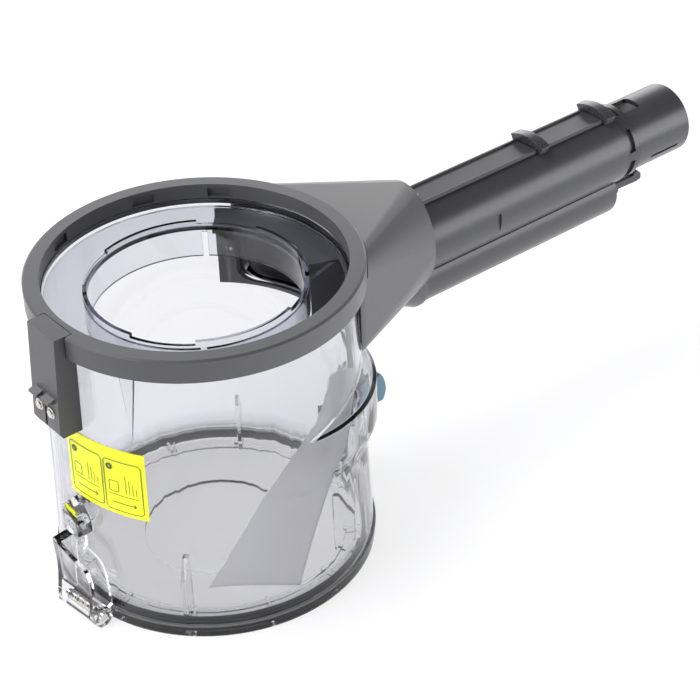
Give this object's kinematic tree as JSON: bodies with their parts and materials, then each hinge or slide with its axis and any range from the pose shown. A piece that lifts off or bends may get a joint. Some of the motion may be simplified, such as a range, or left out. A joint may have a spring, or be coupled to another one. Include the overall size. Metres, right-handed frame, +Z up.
{
  "type": "cyclone dust bin",
  "caption": "Clear round vacuum dust bin with a grey top ring, an inlet cone and suction tube to the side, and a hinged latching bottom lid.",
  "frame": {"origin": "centre of the lid's flat underside, on the drum's axis", "axes": "+Z up along the drum's axis, +X along the suction tube away from the drum, +Y to the left of the tube"},
  "size_m": [0.3297, 0.1304, 0.13],
  "materials": {
    "clear": "clear smoky moulding",
    "dark_plastic": "fine satin grain",
    "mid_plastic": "fine satin grain",
    "seal": "matt",
    "steel": "plain",
    "teal": "satin",
    "label": "printed film"
  },
  "bodies": {
    "bin": {"bin_shell": "clear", "separator_seat": "clear", "top_ring": "dark_plastic", "contact_housing": "mid_plastic", "contact_pins": "steel", "inlet_cone": "mid_plastic", "inlet_frame": "seal", "swirl_ramp": "clear", "suction_tube": "dark_plastic", "tube_collar": "seal", "rail_strip": "dark_plastic", "rail_clips": "dark_plastic", "rail_screw": "steel", "cable_channel": "dark_plastic", "hinge_bracket": "clear", "hinge_pin": "steel", "latch_bracket": "clear", "latch_pin": "steel", "wall_label": "label"},
    "lid": {"lid": "clear", "lid_seal": "seal"},
    "latch": {"latch_rocker": "mid_plastic", "release_button": "teal"},
    "tab": {"release_tab": "mid_plastic"}
  },
  "joints": [
    {"name": "lid_hinge", "type": "hinge", "parent": "bin", "child": "lid", "pos_m": [-0.06932, -0.00729, 0.0045], "axis": [-0.1045, 0.9945, 0], "range_deg": [0, 95]},
    {"name": "latch_rock", "type": "hinge", "parent": "bin", "child": "latch", "pos_m": [0.0715, 0, 0.024], "axis": [0, -1, 0], "range_deg": [0, 9], "stiffness_Nm_per_rad": 0.3, "springref_deg": -11.46},
    {"name": "tab_press", "type": "hinge", "parent": "bin", "child": "tab", "pos_m": [0.218, 0, 0.0776], "axis": [0, 1, 0], "range_deg": [0, 8], "stiffness_Nm_per_rad": 0.2, "springref_deg": -11.46}
  ]
}
